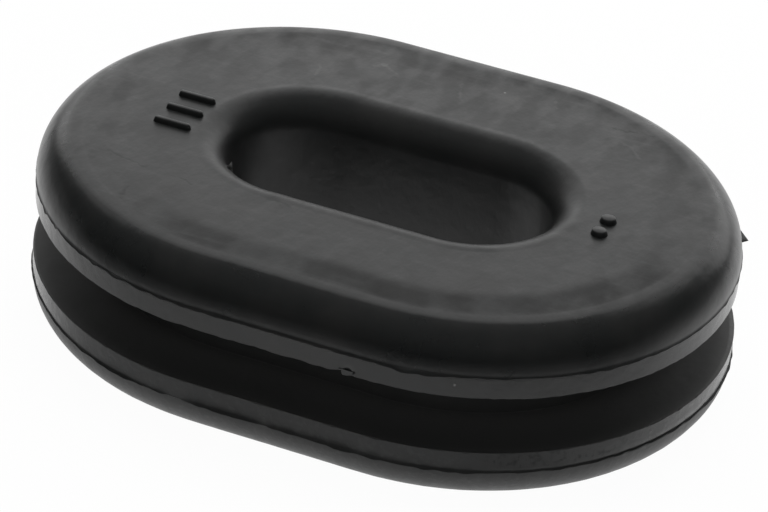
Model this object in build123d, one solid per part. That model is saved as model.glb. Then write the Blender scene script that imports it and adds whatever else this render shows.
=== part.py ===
from build123d import *
import os

# An oval grommet, moulded in one piece from black rubber.
# It snaps into an oblong cut-out: the edge of the panel lies in the groove between the two flanges,
# and cables pass through the slot in the middle.
# Millimetres. The long axis is X, the slot runs along Z, and the part stands on its lower face.

# Plan: every outline is an oblong about the same two end centres
end_spacing = 13.4
flange_width = 42.0
slot_width = 12.7

# Outer side, from the lower face upwards
lower_rounding = 3.2
lower_land = 1.6
groove_height = 4.8
upper_land = 1.8
upper_rounding = 3.3

# How far the groove is cut back from the lands
groove_depth = 5.2

# Rims of the slot, which are quarter ellipses, alike on both faces
rim_width = 2.5
rim_height = 2.6

# Thin bead at the edge of each land, left where the plates of the mould met
bead_height = 0.14
bead_proud = 0.1

# Radii from an end centre, and levels, that follow from the sizes above
land_radius = flange_width / 2
bead_radius = land_radius + bead_proud
neck_radius = land_radius - groove_depth
slot_radius = slot_width / 2
rim_radius = slot_radius + rim_width
lower_parting = lower_rounding
groove_floor = lower_parting + lower_land
groove_roof = groove_floor + groove_height
upper_parting = groove_roof + upper_land
top_level = upper_parting + upper_rounding


def outer_side():
    """The outer side of the section, going up: a beaded land, the groove, and a beaded land."""
    return Polyline(
        (land_radius, lower_parting),
        (bead_radius, lower_parting),
        (land_radius, lower_parting + bead_height),
        (land_radius, groove_floor),
        (neck_radius, groove_floor),
        (neck_radius, groove_roof),
        (land_radius, groove_roof),
        (land_radius, upper_parting - bead_height),
        (bead_radius, upper_parting),
        (land_radius, upper_parting),
    )


def rim_arc(level, start_angle):
    """The section of a slot rim, about the point where its flat face begins."""
    return EllipticalCenterArc((rim_radius, level), rim_width, rim_height, start_angle=start_angle, arc_size=90)


def wall_section():
    """The wall between the slot and the lands, as a face of radius and level."""
    lower_edge = land_radius - lower_rounding
    upper_edge = land_radius - upper_rounding
    return make_face(
        [
            Line((rim_radius, 0), (lower_edge, 0)),
            CenterArc((lower_edge, lower_parting), lower_rounding, start_angle=270, arc_size=90),
            outer_side(),
            CenterArc((upper_edge, upper_parting), upper_rounding, start_angle=0, arc_size=90),
            Line((upper_edge, top_level), (rim_radius, top_level)),
            rim_arc(top_level - rim_height, 90),
            Line((slot_radius, top_level - rim_height), (slot_radius, rim_height)),
            rim_arc(rim_height, 180),
        ]
    )


# The one section goes all the way round: turned about each end centre, and run straight between them
section = Plane.YZ * wall_section()
back_side = Pos(-end_spacing / 2, 0, 0) * extrude(section, end_spacing)
front_side = mirror(back_side, Plane.XZ)
right_end = Pos(end_spacing / 2, 0, 0) * revolve(section, Axis.Z, -180)
left_end = mirror(right_end, Plane.YZ)
oval_grommet = back_side + right_end + front_side + left_end

os.makedirs("parts", exist_ok=True)
export_step(oval_grommet, "parts/oval_grommet.step")
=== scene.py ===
import math

import bpy
from mathutils import Matrix, Vector, noise


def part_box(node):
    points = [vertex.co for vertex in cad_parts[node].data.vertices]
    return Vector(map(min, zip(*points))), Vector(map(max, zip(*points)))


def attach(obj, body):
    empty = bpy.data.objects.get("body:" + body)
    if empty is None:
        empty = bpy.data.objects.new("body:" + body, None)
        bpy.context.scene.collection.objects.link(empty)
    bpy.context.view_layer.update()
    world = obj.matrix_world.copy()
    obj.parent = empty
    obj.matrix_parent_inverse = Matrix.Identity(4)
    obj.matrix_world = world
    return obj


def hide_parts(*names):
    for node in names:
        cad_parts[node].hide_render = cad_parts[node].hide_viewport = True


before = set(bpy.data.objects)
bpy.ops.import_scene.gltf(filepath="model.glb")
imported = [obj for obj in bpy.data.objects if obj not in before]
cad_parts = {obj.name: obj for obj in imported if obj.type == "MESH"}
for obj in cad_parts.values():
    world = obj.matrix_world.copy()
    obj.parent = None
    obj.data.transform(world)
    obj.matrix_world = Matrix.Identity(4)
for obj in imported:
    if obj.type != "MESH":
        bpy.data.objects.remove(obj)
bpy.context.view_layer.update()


# The moulded body
# The grommet is one moulding of black rubber. In the press a top plate, a split ring and a bottom plate
# close on it: each plate shapes one rounded flange, the ring shapes the lands and the groove between them,
# and the rubber that creeps out where they meet stays on as ragged flash.

mm = 0.001

# Overall sizes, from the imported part
node_low, node_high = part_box("oval_grommet")
flash_proud = 0.1 * mm
end_reach = ((node_high.x - node_low.x) - (node_high.y - node_low.y)) / 2
land_radius = (node_high.y - node_low.y) / 2 - flash_proud
top_level = node_high.z

# Outer side, from the lower face upwards
lower_rounding = 3.2 * mm
lower_land = 1.6 * mm
groove_height = 4.8 * mm
upper_rounding = 3.3 * mm
groove_depth = 5.2 * mm
lower_parting = lower_rounding
groove_floor = lower_parting + lower_land
groove_roof = groove_floor + groove_height
upper_parting = top_level - upper_rounding
neck_radius = land_radius - groove_depth

# The lower flange came out a little larger than the upper one, most of all at its right-hand end
lower_spread = 0.04 * mm
lower_lean = 0.2 * mm
lower_lean_turn = math.radians(20)
lower_lean_tightness = 8

# Its rounding is a shade fuller than a quarter circle, and stops a few degrees short of upright
lower_fullness = 2.08
lower_rounding_turn = 85

# Edges of the two lands beside the groove: the lower one is chipped, the upper one hangs unevenly
land_edge_break = 0.04 * mm
lower_edge_variation = 1.8
lower_edge_least = 0.2
lip_droop = 0.08 * mm
lip_unevenness = 0.07 * mm
lip_coarse_run = 1.5 * mm
lip_fine_run = 0.5 * mm

# Shoulder: the top plate's flat ends in a faint slope, and a crease shows where the rounding starts
shoulder_radius = land_radius - upper_rounding
shoulder_width = 1.03 * mm
shoulder_width_variation = 0.08
shoulder_drop = 0.07 * mm
shoulder_drop_variation = 0.25
shoulder_back_turn = math.radians(110)
shoulder_back_gain = 0.45
shoulder_inset = 0.15 * mm
shoulder_coarse_run = 6.0 * mm
shoulder_fine_run = 1.3 * mm

# Slot: its upper rim is a little flat at the front and at the right-hand end
slot_radius = 6.35 * mm
rim_width = 2.35 * mm
rim_height = 2.6 * mm
rim_radius = slot_radius + rim_width
rim_fullness = 2
rim_front_flatness = 0.17
rim_right_flatness = 0.3
rim_right_turn = math.radians(35)

# A low lip is raised round the slot, highest at the right front
slot_lip_height = 0.02 * mm
slot_lip_width = 0.6 * mm
slot_lip_turn = math.radians(-35)
slot_lip_turn_gain = 2.4
slot_lip_usual = 0.75
slot_lip_least = 0.1
slot_lip_most = 1.4
slot_lip_run = 9.0 * mm
slot_lip_share = 0.8
slot_lip_fine_run = 1.3 * mm
slot_lip_fine_share = 0.5

# Parting lines: where the plates met, a ragged bead of flash juts out of the wall and slopes back above
bead_proud = 0.11 * mm
bead_under = 0.06 * mm
bead_below = 0.16 * mm
bead_usual = 0.95
bead_variation = 0.9
bead_least = 0.3
bead_coarse_run = 7.0 * mm
bead_fine_run = 0.9 * mm
upper_bead_above = 0.06 * mm
upper_bead_end_loss = 0.25
lower_bead_proud = 1.75 * bead_proud
lower_bead_end_loss = 0.45
lower_bead_below = 0.7 * bead_below
lower_bead_above = 0.48 * mm
lower_slope_end_loss = 0.7
lower_crevice = 0.09 * mm

# Points on the slope above a bead: shares of the slope's height, of the bead's reach and of the crevice
bead_slope = [(0.16, 0.74, 0.5), (0.38, 0.42, 1), (0.66, 0.15, 0.4)]

# Places where the upper land's edge was torn lower with the flash: turn, half length and drop
torn_edges = [
    (math.radians(-81.3), 1.1 * mm, 0.14 * mm),
    (math.radians(-78.0), 2.8 * mm, 0.12 * mm),
    (math.radians(222.3), 0.4 * mm, 0.16 * mm),
    (math.radians(228.6), 0.35 * mm, 0.2 * mm),
    (math.radians(244.0), 0.5 * mm, 0.1 * mm),
    (math.radians(250.5), 0.9 * mm, 0.16 * mm),
]

# A longer tag of flash on the upper parting line, at the right-hand end, and a sliver inside the slot
tag_turn_start = math.radians(24.0)
tag_turn_end = math.radians(30.5)
tag_reach = 0.62 * mm
sliver_turn = math.radians(230.5)
sliver_half_length = 0.42 * mm
sliver_reach = 0.78 * mm
sliver_lean = 0.15
sliver_step = 8

# A flap on the lower edge of the upper land, at the front: the edge climbs to a slit, with a tongue under it
flap_x = 5.2 * mm
flap_climb_length = 1.3 * mm
flap_climb = 0.26 * mm
tongue_length = 1.0 * mm
tongue_droop = 0.12 * mm
slit_half_length = 0.7 * mm
slit_middle = flap_x + 0.6 * slit_half_length
slit_depth = 0.11 * mm
slit_low = groove_roof + 0.3 * mm
slit_low_slope = 0.02 * mm
slit_high = groove_roof + 0.7 * mm
slit_high_slope = 0.24 * mm

# Seeds of the uneven edges, so that no two of them run alike
lower_bead_seed = 3.7
lower_edge_seed = 2.2
lip_seed = 6.4
upper_bead_seed = 8.2
shoulder_seed = 5.1
fine_share = 0.6

# How closely the section is carried round the oblong, and how many steps its rounded stretches take
front_steps = 122
back_steps = 80
end_steps = 285
lower_rounding_steps = 16
upper_rounding_steps = 24
rim_steps = 16
lower_rim_steps = 11


def stations():
    """Each step round the oblong: the x of its centre, and the direction in which the section points."""
    steps = []
    for step in range(front_steps):
        steps.append((-end_reach + 2 * end_reach * step / front_steps, -math.pi / 2))
    for step in range(end_steps):
        steps.append((end_reach, -math.pi / 2 + math.pi * step / end_steps))
    for step in range(back_steps):
        steps.append((end_reach - 2 * end_reach * step / back_steps, math.pi / 2))
    for step in range(end_steps):
        steps.append((-end_reach, math.pi / 2 + math.pi * step / end_steps))
    return steps


def line(start, end, steps):
    """Points along a straight stretch of the section, without its first."""
    return [tuple(a + (b - a) * step / steps for a, b in zip(start, end)) for step in range(1, steps + 1)]


def arc(centre, width, height, start_angle, turn, steps):
    """Points along a rounded stretch of the section, without its first."""
    angles = [math.radians(start_angle + turn * step / steps) for step in range(1, steps + 1)]
    return [(centre[0] + width * math.cos(a), centre[1] + height * math.sin(a)) for a in angles]


def hump(distance, half_length):
    """One in the middle, falling smoothly to nothing at half_length."""
    reach = min(abs(distance) / half_length, 1)
    return (1 - reach * reach) ** 2


def ragged(place, seed, coarse_run, fine_run):
    """A number from about -1 to 1 that changes unevenly from place to place."""
    coarse = noise.noise(place / coarse_run + Vector((seed, 0, 0)))
    fine = noise.noise(place / fine_run + Vector((0, seed, 0)))
    return coarse + fine_share * fine


def bead_size(place, seed):
    """How large a bead of flash is at a place on its parting line, as a share of its usual size."""
    return max(bead_usual + bead_variation * ragged(place, seed, bead_coarse_run, bead_fine_run), bead_least)


def bead(wall_radius, proud, tip_level, head_level, crevice=0):
    """The section of a bead of flash, going up, without the place where its slope ends."""
    points = [(wall_radius, tip_level - bead_under), (wall_radius + proud, tip_level)]
    for up, left, cut in bead_slope:
        level = tip_level + (head_level - tip_level) * up
        points.append((wall_radius + proud * left - crevice * cut, level))
    return points


def lower_radius(turn):
    """How far the lower flange reaches out in a direction."""
    lean = max(math.cos(turn - lower_lean_turn), 0) ** lower_lean_tightness
    return land_radius + lower_spread + lower_lean * lean


def lower_edge_break(at_land):
    """How far the lower land's upper edge is broken away at a place."""
    uneven = ragged(at_land, lower_edge_seed, lip_coarse_run, lip_fine_run)
    return land_edge_break * max(1 + lower_edge_variation * uneven, lower_edge_least)


def lower_side(at_land, turn):
    """The lower face, its rounding, the lower parting line and the lower land."""
    wall_radius = lower_radius(turn)
    lower_edge = land_radius - lower_rounding
    endward = abs(math.cos(turn))
    size = bead_size(at_land, lower_bead_seed)
    proud = lower_bead_proud * size * (1 - lower_bead_end_loss * endward)
    tip_level = lower_parting - lower_bead_below * size
    head_level = lower_parting + lower_bead_above * (1 - lower_slope_end_loss * endward)
    points = [(rim_radius, 0)]
    points += line(points[-1], (lower_edge, 0), 2)
    for step in range(1, lower_rounding_steps + 1):
        angle = math.radians(lower_rounding_turn * step / lower_rounding_steps)
        out = math.sin(angle) ** (2 / lower_fullness)
        down = math.cos(angle) ** (2 / lower_fullness)
        points.append((lower_edge + (wall_radius - lower_edge) * out, (tip_level - bead_under) * (1 - down)))
    points += bead(wall_radius, proud, tip_level, head_level, lower_crevice * endward)
    points += [(wall_radius, head_level)]
    points += line(points[-1], (wall_radius, groove_floor - lower_edge_break(at_land)), 3)
    return points


def groove_side(at_land, turn):
    """The groove, with the upper land's lower edge and the flap that is torn in it."""
    lip = groove_roof - lip_droop + lip_unevenness * ragged(at_land, lip_seed, lip_coarse_run, lip_fine_run)
    slit = 0
    if turn == -math.pi / 2:
        climb = min(max((at_land.x - flap_x + flap_climb_length) / flap_climb_length, 0), 1)
        if at_land.x < flap_x:
            lip += flap_climb * climb * climb
        else:
            lip -= tongue_droop * hump(at_land.x - flap_x, tongue_length)
        slit = slit_depth * hump(at_land.x - slit_middle, slit_half_length)
    points = [(lower_radius(turn) - lower_edge_break(at_land), groove_floor)]
    points += line(points[-1], (neck_radius, groove_floor), 3)
    points += line(points[-1], (neck_radius, groove_roof), 3)
    points += line(points[-1], (land_radius - land_edge_break, lip), 3)
    points += [(land_radius, lip + land_edge_break), (land_radius, slit_low)]
    points += [(land_radius - slit, slit_low + slit_low_slope)]
    points += [(land_radius - slit, slit_high - slit_high_slope)]
    points += [(land_radius, slit_high)]
    return points


def upper_side(at_land, centre_x, turn):
    """The upper land, the upper parting line and the rounding, up to the flat top."""
    size = bead_size(at_land, upper_bead_seed)
    proud = bead_proud * size * (1 - upper_bead_end_loss * abs(math.cos(turn)))
    if centre_x == end_reach and tag_turn_start < turn < tag_turn_end:
        proud += tag_reach * (tag_turn_end - turn) / (tag_turn_end - tag_turn_start)
    torn = sum(drop * hump((turn - place) * land_radius, half) for place, half, drop in torn_edges)
    tip_level = upper_parting - bead_below * size - torn
    head_level = upper_parting + upper_bead_above * size
    uneven = ragged(at_land, shoulder_seed, shoulder_coarse_run, shoulder_fine_run)
    slope_width = shoulder_width * (1 + shoulder_width_variation * uneven)
    drop = shoulder_drop * (1 + shoulder_back_gain * max(math.cos(turn - shoulder_back_turn), 0))
    drop *= 1 + shoulder_drop_variation * uneven
    crease_in = land_radius - shoulder_radius - slope_width
    crease_level = top_level - drop
    crease_up = crease_level - upper_parting
    radius = (crease_in ** 2 + crease_up ** 2) / (2 * crease_in)
    middle = (land_radius - radius, upper_parting)
    foot_angle = math.degrees(math.asin((head_level - upper_parting) / radius))
    crease_angle = math.degrees(math.atan2(crease_up, radius - crease_in))
    points = line((land_radius, slit_high), (land_radius, tip_level - bead_under), 3)[:-1]
    points += bead(land_radius, proud, tip_level, head_level)
    points += arc(middle, radius, radius, foot_angle, 0, 1)
    points += arc(middle, radius, radius, foot_angle, crease_angle - foot_angle, upper_rounding_steps)
    for share in (0.75, 0.5, 0.25, 0):
        points.append((shoulder_radius + slope_width * share, top_level - drop * share * share))
    return points


def lip_rise(at_slot, turn):
    """How high the lip beside the slot stands at a place."""
    uneven = slot_lip_share * noise.noise(at_slot / slot_lip_run)
    uneven += slot_lip_fine_share * noise.noise(at_slot / slot_lip_fine_run)
    size = min(max(slot_lip_usual + uneven, slot_lip_least), slot_lip_most)
    return slot_lip_height * size * (1 + slot_lip_turn_gain * max(math.cos(turn - slot_lip_turn), 0) ** 2)


def top_side(at_slot, centre_x, turn):
    """The flat top, the raised lip beside the slot and the rounded rim, with a sliver of flash on it."""
    high = lip_rise(at_slot, turn)
    lip_edge = rim_radius + slot_lip_width
    points = [(shoulder_radius - shoulder_inset, top_level)]
    points += line(points[-1], (lip_edge, top_level), 5)
    for share in (0.2, 0.4, 0.6, 0.8, 1):
        points.append((lip_edge - slot_lip_width * share, top_level + high * hump(1 - share, 1)))
    rim_foot = top_level - rim_height
    fullness = rim_fullness - rim_front_flatness * max(-math.sin(turn), 0) ** 2
    fullness -= rim_right_flatness * max(math.cos(turn - rim_right_turn), 0) ** 2
    rim = []
    for step in range(1, rim_steps + 1):
        angle = math.radians(90 * step / rim_steps)
        inward = math.sin(angle) ** (2 / fullness)
        up = max(math.cos(angle), 0) ** (2 / fullness)
        rim.append((rim_radius - rim_width * inward, rim_foot + (rim_height + high) * up))
    if centre_x == -end_reach:
        taper = max(1 - abs(turn - sliver_turn) * slot_radius / sliver_half_length, 0)
        radius, level = rim[sliver_step]
        rim[sliver_step] = (radius - sliver_lean * taper * sliver_reach, level + taper * sliver_reach)
    return points + rim


def slot_side():
    """The wall of the slot, and the rim on the lower face."""
    points = line((slot_radius, top_level - rim_height), (slot_radius, rim_height), 5)
    points += arc((rim_radius, rim_height), rim_width, rim_height, 180, 90, lower_rim_steps)[:-1]
    return points


def wall_section(centre_x, turn):
    """The section of the wall at one step round the oblong: its radius and level, from the lower face out."""
    outward = Vector((math.cos(turn), math.sin(turn), 0))
    at_land = Vector((centre_x, 0, 0)) + outward * land_radius
    at_slot = Vector((centre_x, 0, 0)) + outward * slot_radius
    points = lower_side(at_land, turn)
    points += groove_side(at_land, turn)
    points += upper_side(at_land, centre_x, turn)
    points += top_side(at_slot, centre_x, turn)
    points += slot_side()
    return points


def moulded_mesh():
    """The whole moulding: its section carried round the oblong and closed on itself."""
    places = []
    steps = stations()
    for centre_x, turn in steps:
        for radius, level in wall_section(centre_x, turn):
            places.append((centre_x + radius * math.cos(turn), radius * math.sin(turn), level))
    rows = len(places) // len(steps)
    faces = []
    for step in range(len(steps)):
        here = step * rows
        after = (step + 1) % len(steps) * rows
        for row in range(rows):
            above = (row + 1) % rows
            faces.append((here + row, after + row, after + above, here + above))
    mesh = bpy.data.meshes.new("oval_moulding")
    mesh.from_pydata(places, [], faces)
    return mesh


moulding = bpy.data.objects.new("oval_moulding", moulded_mesh())
bpy.context.scene.collection.objects.link(moulding)
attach(moulding, "root")
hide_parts("oval_grommet")


# Raised marks
# Plain marks that the top plate of the mould leaves on the rubber: three bars at one end of the top face,
# and two pips at the other. They are cut into the plate with a tapered tool, so their sides slope.

bar_x = -17.2 * mm
bar_spacing = 2.3 * mm
bar_middle_y = -0.5 * mm
bar_half_length = 1.25 * mm
bar_half_width = 0.33 * mm
pip_x = 17.5 * mm
pip_spacing = 2.0 * mm
pip_middle_y = -0.4 * mm
pip_half_length = 0.05 * mm
pip_radius = 0.62 * mm
mark_root = 0.15 * mm
mark_end_steps = 12
sharp_edge = math.radians(35)

# Steps up the side of a mark: how far it has drawn in, and its height above the face
mark_steps = [
    (0, -mark_root),
    (0, 0),
    (0.05 * mm, 0.16 * mm),
    (0.1 * mm, 0.3 * mm),
    (0.15 * mm, 0.36 * mm),
    (0.22 * mm, 0.39 * mm),
]


def oblong_ring(middle_x, middle_y, half_length, radius, level):
    """Points round an oblong that lies along X."""
    ring = []
    for side, start in ((half_length, -90), (-half_length, 90)):
        for step in range(mark_end_steps + 1):
            turn = math.radians(start + 180 * step / mark_end_steps)
            across = middle_x + side + radius * math.cos(turn)
            ring.append((across, middle_y + radius * math.sin(turn), level))
    return ring


def add_mark(places, faces, middle_x, middle_y, half_length, radius):
    """Adds one closed mark to the lists of a mesh."""
    first = len(places)
    for drawn_in, height in mark_steps:
        places += oblong_ring(middle_x, middle_y, half_length, radius - drawn_in, top_level + height)
    count = (len(places) - first) // len(mark_steps)
    for ring in range(len(mark_steps) - 1):
        low = first + ring * count
        for side in range(count):
            after = (side + 1) % count
            faces.append((low + side, low + after, low + count + after, low + count + side))
    faces.append(tuple(first + side for side in reversed(range(count))))
    faces.append(tuple(len(places) - count + side for side in range(count)))


def marks_mesh():
    """The three bars and the two pips."""
    places = []
    faces = []
    for row in (-1, 0, 1):
        add_mark(places, faces, bar_x, bar_middle_y + row * bar_spacing, bar_half_length, bar_half_width)
    for row in (-0.5, 0.5):
        add_mark(places, faces, pip_x, pip_middle_y + row * pip_spacing, pip_half_length, pip_radius)
    mesh = bpy.data.meshes.new("raised_marks")
    mesh.from_pydata(places, [], faces)
    return mesh


def join_marks():
    """Joins the marks to the moulding, as one closed surface."""
    marks = bpy.data.objects.new("raised_marks", marks_mesh())
    bpy.context.scene.collection.objects.link(marks)
    union = moulding.modifiers.new("union", "BOOLEAN")
    union.operation = "UNION"
    union.solver = "MANIFOLD"
    union.object = marks
    shaped = moulding.evaluated_get(bpy.context.evaluated_depsgraph_get())
    whole = bpy.data.meshes.new_from_object(shaped)
    moulding.modifiers.remove(union)
    moulding.data = whole
    bpy.data.objects.remove(marks)
    whole.materials.clear()
    whole.polygons.foreach_set("material_index", [0] * len(whole.polygons))
    whole.polygons.foreach_set("use_smooth", [True] * len(whole.polygons))
    whole.set_sharp_from_angle(angle=sharp_edge)


join_marks()


# The rubber's finish
# A hard black rubber, as it leaves the mould: it has taken on the fine grain of the tool, it is a little
# cloudy where wax has come to the surface, and handling has left rub marks and specks of dust on it. Its
# colour also carries painted light: a paler tone in the groove and slot, and a pale spot on the sliver of
# flash.


class Shade:
    """A shader socket that takes part in sums, and makes the node that comes next."""

    def __init__(self, tree, socket=None):
        self.tree = tree
        self.socket = socket

    def node(self, kind, settings=None, inputs=None, output=0):
        """A new node: its settings first, then the values or links of its sockets."""
        made = self.tree.nodes.new(kind)
        for name, value in (settings or {}).items():
            setattr(made, name, value)
        for name, value in (inputs or {}).items():
            if isinstance(value, Shade):
                self.tree.links.new(value.socket, made.inputs[name])
            else:
                made.inputs[name].default_value = value
        return Shade(self.tree, made.outputs[output] if made.outputs else None)

    def other(self, output):
        """Another output of the same node."""
        return Shade(self.tree, self.socket.node.outputs[output])

    def maths(self, operation, first, second=0.0):
        """A sum on one or two values."""
        return self.node("ShaderNodeMath", {"operation": operation}, {0: first, 1: second})

    def __add__(self, other):
        return self.maths("ADD", self, other)

    def __radd__(self, other):
        return self.maths("ADD", other, self)

    def __sub__(self, other):
        return self.maths("SUBTRACT", self, other)

    def __rsub__(self, other):
        return self.maths("SUBTRACT", other, self)

    def __mul__(self, other):
        return self.maths("MULTIPLY", self, other)

    def __rmul__(self, other):
        return self.maths("MULTIPLY", other, self)


def new_material(name):
    """An empty node material, and the start of its shading."""
    material = bpy.data.materials.new(name)
    material.use_nodes = True
    material.node_tree.nodes.clear()
    return material, Shade(material.node_tree)


def vector_maths(start, operation, inputs, output=0):
    """A sum on vectors."""
    return start.node("ShaderNodeVectorMath", {"operation": operation}, inputs, output)


def blend(share, under, over):
    """One colour laid over another, as thick as its share."""
    return share.node("ShaderNodeMix", {"data_type": "RGBA"}, {0: share, 6: under, 7: over}, output=2)


def rise(value, low, high):
    """A mask that goes smoothly from 0 at low to 1 at high."""
    limits = {"Value": value, "From Min": low, "From Max": high}
    return value.node("ShaderNodeMapRange", {"interpolation_type": "SMOOTHSTEP"}, limits)


def band(value, first_edge, last_edge):
    """A mask that is 1 between two soft edges, each given by where it starts and ends."""
    return rise(value, *first_edge) * (1 - rise(value, *last_edge))


def cloud(place, size_mm, detail=2.0, stretch=(1, 1, 1)):
    """Soft noise with lumps of about the given size."""
    scaled = vector_maths(place, "MULTIPLY", {0: place, 1: stretch})
    return place.node("ShaderNodeTexNoise", {}, {"Vector": scaled, "Scale": 1 / size_mm, "Detail": detail})


def oblong_radius(place, reach):
    """How far a place lies from the line between the two end centres, which reaches out to each side."""
    split = place.node("ShaderNodeSeparateXYZ", {}, {"Vector": place})
    past_end = split.maths("MAXIMUM", split.maths("ABSOLUTE", split.other("X")) - reach, 0)
    return split.maths("SQRT", past_end * past_end + split.other("Y") * split.other("Y"))


def scratch(place, start, end, half_width):
    """A mask for a thin straight mark between two places on the top face, in millimetres."""
    first = Vector((*start, top_level / mm))
    run = Vector((*end, top_level / mm)) - first
    offset = vector_maths(place, "SUBTRACT", {0: place, 1: first})
    along = vector_maths(place, "DOT_PRODUCT", {0: offset, 1: run}, "Value")
    along = along.node("ShaderNodeClamp", {}, {"Value": along * (1 / run.length_squared)})
    nearest = vector_maths(place, "SCALE", {0: run, "Scale": along})
    away = vector_maths(place, "DISTANCE", {0: offset, 1: nearest}, "Value")
    return 1 - rise(away, 0, half_width)


def speck(place, middle, reach):
    """A mask for a soft round speck, in millimetres."""
    apart = vector_maths(place, "DISTANCE", {0: place, 1: middle}, "Value")
    return 1 - rise(apart, speck_core * reach, reach)


deep_black = (0.0078, 0.0087, 0.0086, 1)
bloomed_black = (0.0130, 0.0132, 0.0128, 1)
# Groove and slot tone: partly dust, partly painted light that lifts the black there
dust_and_painted_light_black = (0.069, 0.069, 0.068, 1)
scuffed_black = (0.040, 0.041, 0.040, 1)
# Grey of the dust specks, and of the painted light spot on the sliver
dust_and_painted_light_grey = (0.13, 0.13, 0.128, 1)
plain_roughness = 0.29
rubber_ior = 1.5
wipe_turn = math.radians(22)
speck_core = 0.3

# Marks of handling on the top face: start, end and half width in millimetres
pale_scratches = [
    ((-10.9, 11.7), (-10.7, 10.1), 0.25),
    ((-7.2, 13.9), (-6.6, 14.4), 0.3),
    ((-6.6, 14.4), (-5.0, 13.3), 0.28),
    ((-0.1, 14.6), (0.9, 12.3), 0.28),
    ((7.5, 15.7), (8.1, 14.8), 0.2),
    ((14.6, 12.4), (16.4, 10.9), 0.3),
]
dark_scratches = [
    ((-19.8, -8.8), (-16.1, -9.8), 0.28),
    ((-13.3, -9.8), (-12.2, -10.3), 0.3),
    ((-16.3, -13.1), (-15.8, -14.7), 0.34),
    ((-6.3, -9.3), (-4.4, -9.5), 0.3),
    ((13.2, 14.1), (16.2, 14.6), 0.28),
    ((15.1, 11.9), (15.9, 11.1), 0.28),
]

# Specks of dust on the top face and the upper land, and a pale spot of painted light on the sliver: place and
# radius in millimetres
dust_specks_and_painted_light = [
    ((3.53, 15.12, 14.7), 0.14),
    ((13.54, -19.86, 10.56), 0.14),
    # This spot is painted light on the sliver of flash, not dust
    ((-11.0, -5.2, 14.35), 0.45),
]


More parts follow.
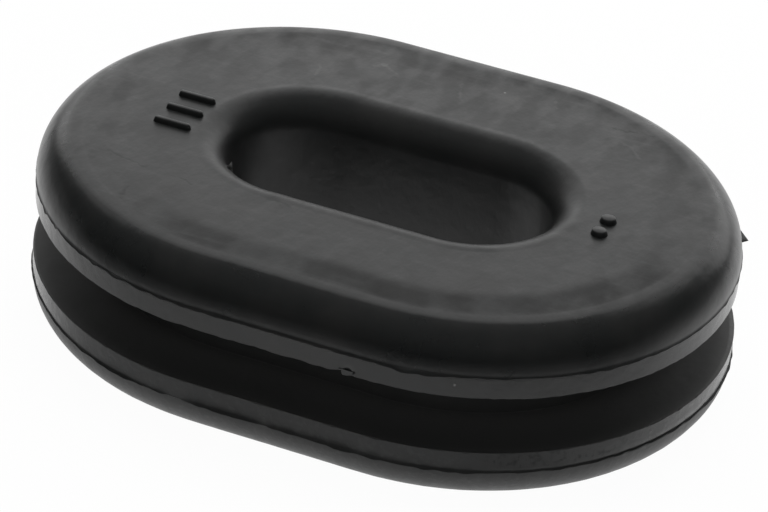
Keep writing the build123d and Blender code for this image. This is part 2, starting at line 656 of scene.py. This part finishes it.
def rubber_finish():
    """The rubber's material. All places, levels and radii in it are in millimetres."""
    material, start = new_material("moulded_rubber")
    place = start.node("ShaderNodeTexCoord").other("Object")
    place = vector_maths(start, "SCALE", {0: place, "Scale": 1 / mm})
    radius = oblong_radius(place, end_reach / mm)
    sideways = start.node("ShaderNodeSeparateXYZ", {}, {"Vector": place})
    rearward = sideways.other("Y")
    frontward = -1 * rearward
    level = sideways.other("Z")

    # Where on the moulding a place is
    end = rise(start.maths("ABSOLUTE", sideways), 14, 24)
    side = rise(radius, 20.8, 20.95)
    on_top = rise(level, 14.3, 14.6)
    rounding = rise(radius, 18.2, 19.0) * rise(level, 11.35, 11.5)
    on_upper_land = side * band(level, (9.2, 9.4), (11.0, 11.2))
    on_lower_land = side * band(level, (3.3, 3.5), (5.0, 5.2))
    upper_flash = rise(radius, 21.02, 21.07) * rise(level, 10.0, 11.0)
    lower_seam = side * band(level, (2.92, 3.04), (3.26, 3.36))
    neck = rise(level, 4.81, 4.85)
    groove = rise(radius, 12.0, 13.0) * band(level, (4.74, 4.77), (9.65, 9.8)) * (1 - neck * side)
    under = 1 - rise(level, 2.6, 3.2)
    rim = (1 - rise(radius, 8.5, 8.9)) * rise(level, 11.5, 12.5)
    throat = (1 - rise(radius, 7.2, 7.8)) * (1 - on_top)

    # A dull ring near the edge of the flat top, and the crease beside it, bright at the front
    near_right = rise(0.35 * sideways - rearward, 6, 16)
    ring = on_top * band(radius, (14.4, 16.0), (17.6, 18.0))
    ring = ring * (0.1 + 0.25 * rise(rearward, 6, 15) + 0.95 * near_right)
    front_crease = on_top * band(radius, (17.35, 17.6), (17.6, 17.9)) * rise(frontward, -4, 6)
    back_crease = on_top * band(radius, (16.6, 17.3), (17.5, 17.9)) * rise(rearward, 6, 15)

    # Dust in the groove, with painted light that lifts its black: thickest on its floor and at the right-hand
    # end, and a little in the slot
    groove_dust_and_painted_light = groove * (1 - 0.66 * neck) * (1 - 0.5 * rise(radius, 16.4, 20.6))
    groove_dust_and_painted_light = groove_dust_and_painted_light * (1 + 0.55 * rise(sideways, 21, 28.5)) + 0.06 * throat

    # Unevenness of the rubber, from large to small
    wax = cloud(place, 7.0, 3.0)
    blotch = cloud(place, 2.4, 3.0, (1.3, 0.75, 1.0))
    wiping = {"Vector": place, "Rotation": (0, 0, wipe_turn), "Scale": (1.0, 0.5, 1.0)}
    haze = rise(cloud(start.node("ShaderNodeMapping", {}, wiping), 1.7, 2.0), 0.36, 0.64) - 0.5
    haze = haze * (0.35 + 0.65 * start.maths("MAXIMUM", end, rise(rearward, 2, 12)))
    mottle = cloud(place, 0.9, 2.0, (1.4, 0.7, 1.0))
    rub = rise(cloud(place, 0.9, 3.0, (0.16, 1.4, 1.4)), 0.54, 0.72)
    drag = cloud(place, 0.5, 3.0, (1.0, 1.0, 0.14))
    grit = rise(cloud(place, 0.4, 3.0), 0.48, 0.68) * (on_lower_land + under)
    grime = band(sideways, (13, 19), (23, 27)) * (0.22 + 0.25 * grit)
    grain = cloud(place, 0.22, 3.0, (1.4, 0.7, 1.0))

    # Marks of handling, with edges that waver
    wobble = vector_maths(start, "SUBTRACT", {0: cloud(place, 0.8).other("Color"), 1: (0.5, 0.5, 0.5)})
    shaken = vector_maths(start, "ADD", {0: place, 1: wobble})
    pale = sum(scratch(shaken, *mark) for mark in pale_scratches)
    dark = sum(scratch(shaken, *mark) for mark in dark_scratches)
    specks = sum(speck(place, *spot) for spot in dust_specks_and_painted_light)

    # Colour: bloom on the black, then dust with painted light in the groove and slot, scuffs, and specks of
    # dust with a painted light spot on the sliver over it
    bloom = rise(wax * 0.6 + blotch * 0.4, 0.4, 0.66)
    scuffs = 0.55 * pale + 0.2 * grit + 0.3 * (1 - rise(level, 1.6, 3.0))
    tone = blend(bloom, deep_black, bloomed_black)
    tone = blend(groove_dust_and_painted_light, tone, dust_and_painted_light_black)
    tone = blend(scuffs, tone, scuffed_black)
    tone = blend(specks, tone, dust_and_painted_light_grey)

    # Roughness: what dulls the rubber adds to it, and what the plates polished takes from it
    dull_ring = ring * (0.4 + 0.6 * rise(wax + 0.5 * blotch, 0.5, 1.0))
    dull_ring = dull_ring + 0.3 * back_crease * rise(blotch, 0.35, 0.65)
    roughness = plain_roughness + 0.1 * wax + 0.1 * blotch
    roughness = roughness + on_top * (0.11 * haze - 0.05 * rub + 0.02 * rise(frontward, 6, 14))
    roughness = roughness + 0.28 * dull_ring - 0.04 * front_crease - 0.1 * rounding + 0.03 * rim + 0.1 * dark
    roughness = roughness - 0.22 * on_upper_land + on_lower_land * (0.1 - 0.28 * end + grime)
    roughness = roughness + 0.2 * upper_flash + 0.25 * lower_seam * end
    roughness = roughness + 0.25 * groove + 0.1 * under * drag

    # Relief too fine for the mesh, in millimetres
    height = 0.06 * blotch + mottle * (0.021 - 0.012 * rounding) + 0.002 * grain
    height = height + 0.002 * pale - 0.004 * dark + 0.01 * under * drag + 0.006 * grit
    bump = start.node("ShaderNodeBump", {}, {"Strength": 1.0, "Distance": mm, "Height": height})

    looks = {"Base Color": tone, "Roughness": roughness, "IOR": rubber_ior, "Normal": bump}
    surface = start.node("ShaderNodeBsdfPrincipled", {}, looks)
    start.node("ShaderNodeOutputMaterial", {}, {"Surface": surface})
    return material


moulding.data.materials.append(rubber_finish())


# The table
# A white sheet under the part, which turns up into a low white wall a long way off. It shows as plain
# white and keeps a trace of the part's shadow. Where the rubber mirrors it, light and shade are painted
# on it as a glow: bright behind the part and close round its foot, and dim elsewhere.

table_middle = 0.3
table_radius = 1.8
table_sides = 96
wall_curve = 0.2
wall_curve_steps = 8
wall_height = 0.45
white_share = 0.97
paper_level = 0.9
far_level = 0.08

# The painted light on the sheet comes from behind, a little to one side of the camera's line of sight
view_turn = math.radians(19.83)
light_turn = view_turn - math.radians(10)
behind = Vector((-math.sin(light_turn), math.cos(light_turn), 0))
beside = Vector((math.cos(light_turn), math.sin(light_turn), 0))

# The painted lit patch round the part, and the faint painted light further off
near_share = 0.28
lit_radius = 38 * mm
lit_edge = 55 * mm
faint_share = 0.14
faint_radius = 60 * mm
faint_edge = 260 * mm

# The painted bright stretch behind the part, which fades to the sides and in the distance
bright_share = 0.7
bright_from = -25 * mm
bright_to = 2 * mm
side_share = 0.3
side_from = 20 * mm
side_to = 95 * mm
side_spread = 0.5
far_share = 0.4
far_from = 300 * mm
far_to = 900 * mm

# Under the slot the sheet has painted shade, and close round the part's foot painted light makes it brighter
slot_share = 0.55
slot_shade = (9 * mm, 15 * mm)
contact_share = 2.5
contact_inner = (11 * mm, 14 * mm)
contact_outer = (22 * mm, 26 * mm)


def table_mesh():
    """The round sheet with its turned-up wall."""
    profile = [(table_middle, 0.0), (table_radius, 0.0)]
    profile += arc((table_radius, wall_curve), wall_curve, wall_curve, 270, 90, wall_curve_steps)
    profile += [(table_radius + wall_curve, wall_height)]
    places = [(0, 0, 0)]
    faces = []
    for radius, level in profile:
        for side in range(table_sides):
            turn = 2 * math.pi * side / table_sides
            places.append((radius * math.cos(turn), radius * math.sin(turn), level))
    for side in range(table_sides):
        after = (side + 1) % table_sides
        faces.append((0, 1 + side, 1 + after))
        for ring in range(len(profile) - 1):
            inner = 1 + ring * table_sides
            outer = inner + table_sides
            faces.append((inner + side, outer + side, outer + after, inner + after))
    mesh = bpy.data.meshes.new("table")
    mesh.from_pydata(places, [], faces)
    return mesh


def table_finish():
    """The sheet's material: white to the camera, paper to the light, and a painted glow of light in places to
    the rubber.
    """
    material, start = new_material("white_sheet")
    path = start.node("ShaderNodeLightPath")
    mirrored = start.maths("MINIMUM", path.other("Is Glossy Ray") + path.other("Is Transmission Ray"), 1)
    place = start.node("ShaderNodeTexCoord").other("Object")
    depth = vector_maths(start, "DOT_PRODUCT", {0: place, 1: behind}, "Value")
    aside = vector_maths(start, "DOT_PRODUCT", {0: place, 1: beside}, "Value")
    distance = vector_maths(start, "LENGTH", {0: place}, "Value")
    gap = oblong_radius(place, end_reach)

    # Where light is painted on the sheet
    spread = start.maths("ABSOLUTE", aside) - side_spread * start.maths("MAXIMUM", depth, 0)
    central = 1 - (1 - side_share) * rise(spread, side_from, side_to)
    back = rise(depth, bright_from, bright_to) * central
    faint = faint_share * (1 - rise(distance, faint_radius, faint_edge))
    near = start.maths("MAXIMUM", 1 - rise(distance, lit_radius, lit_edge), faint)
    lit = start.maths("MAXIMUM", near, back)
    close = slot_share + (1 - slot_share) * rise(gap, *slot_shade)
    close = close + contact_share * band(gap, contact_inner, contact_outer)
    painted_glow = start.maths("MINIMUM", (near_share * lit + bright_share * back) * close, 1)
    painted_glow = painted_glow * (1 - (1 - far_share) * rise(distance, far_from, far_to))

    # Paper, painted dim where the rubber mirrors an unlit place, with plain white and the painted glow over
    # it
    lit_paper = start.node("ShaderNodeBsdfDiffuse", {}, {"Color": (paper_level, paper_level, paper_level, 1)})
    dim_paper = start.node("ShaderNodeBsdfDiffuse", {}, {"Color": (far_level, far_level, far_level, 1)})
    paper = start.node("ShaderNodeMixShader", {}, {0: mirrored * (1 - lit), 1: lit_paper, 2: dim_paper})
    white = start.node("ShaderNodeEmission", {}, {"Color": (1, 1, 1, 1), "Strength": 1.0})
    share = start.maths("MAXIMUM", path.other("Is Camera Ray") * white_share, mirrored * painted_glow)
    surface = start.node("ShaderNodeMixShader", {}, {0: share, 1: paper, 2: white})
    start.node("ShaderNodeOutputMaterial", {}, {"Surface": surface})
    return material


table = bpy.data.objects.new("table", table_mesh())
bpy.context.scene.collection.objects.link(table)
table.data.materials.append(table_finish())


# Light
# A long low soft box and a wide higher one stand behind the part, and the top face mirrors both. A fill in
# front and a lamp overhead light it evenly, and don't show in the rubber. The rest of the room is dim, so
# the rounded front edge stays dark.

room_level = 0.062
ceiling_level = 0.2
ceiling_from = 0.3
ceiling_to = 1.0


def soft_box(name, turn, height, distance, width, depth, power):
    """A rectangular lamp that faces the part, at a turn from the camera and a height angle, in degrees."""
    lamp = bpy.data.lights.new(name, "AREA")
    lamp.shape = "RECTANGLE"
    lamp.size = width
    lamp.size_y = depth
    lamp.energy = power
    box = bpy.data.objects.new(name, lamp)
    round_turn = view_turn + math.radians(turn)
    height_angle = math.radians(height)
    aside = math.cos(height_angle)
    toward = Vector((math.sin(round_turn) * aside, -math.cos(round_turn) * aside, math.sin(height_angle)))
    box.location = toward * distance
    box.rotation_euler = toward.to_track_quat("Z", "Y").to_euler()
    box.visible_camera = False
    bpy.context.scene.collection.objects.link(box)
    return box


soft_box("low_box", turn=172.5, height=23.3, distance=0.184, width=0.38, depth=0.08, power=0.1226)
soft_box("back_box", turn=177, height=49, distance=0.55, width=0.86, depth=0.34, power=0.73)
front_fill = soft_box("front_fill", turn=0, height=32, distance=0.8, width=0.4, depth=0.4, power=0.9)
high_box = soft_box("high_box", turn=180, height=75, distance=1.1, width=0.7, depth=0.7, power=7.0)
front_fill.visible_glossy = False
high_box.visible_glossy = False

world = bpy.data.worlds.new("dim_room")
world.use_nodes = True
world.node_tree.nodes.clear()
room = Shade(world.node_tree)
direction = room.node("ShaderNodeTexCoord")
upward = room.node("ShaderNodeSeparateXYZ", {}, {"Vector": direction}).other("Z")
walls = room.node("ShaderNodeBackground", {}, {"Color": (1, 1, 1, 1), "Strength": room_level})
ceiling = room.node("ShaderNodeBackground", {}, {"Color": (1, 1, 1, 1), "Strength": ceiling_level})
overhead = rise(upward, ceiling_from, ceiling_to)
dim = room.node("ShaderNodeMixShader", {}, {0: overhead, 1: walls, 2: ceiling})
room.node("ShaderNodeOutputWorld", {}, {"Surface": dim})
bpy.context.scene.world = world
bpy.context.scene.view_settings.view_transform = "Standard"


# Camera
# A long lens looks down on the right-hand front of the part, with the camera leaning a little to one side.

picture_width = 768
focal_pixels = 3920.8
sensor_width = 36
view_height = math.radians(31.654)
view_lean = math.radians(5.272)
view_distance = 304.8 * mm
view_target = Vector((-0.057 * mm, 0.398 * mm, top_level - 8.4 * mm))

backward = Vector((
    math.sin(view_turn) * math.cos(view_height),
    -math.cos(view_turn) * math.cos(view_height),
    math.sin(view_height),
))
level_right = Vector((0, 0, 1)).cross(backward).normalized()
level_up = backward.cross(level_right)
right = math.cos(view_lean) * level_right + math.sin(view_lean) * level_up
up = math.cos(view_lean) * level_up - math.sin(view_lean) * level_right

lens = bpy.data.cameras.new("camera")
lens.sensor_width = sensor_width
lens.lens = sensor_width * focal_pixels / picture_width
lens.clip_start = 10 * mm
camera = bpy.data.objects.new("camera", lens)
facing = Matrix((right, up, backward)).transposed().to_4x4()
camera.matrix_world = Matrix.Translation(view_target + view_distance * backward) @ facing
bpy.context.scene.collection.objects.link(camera)
bpy.context.scene.camera = camera
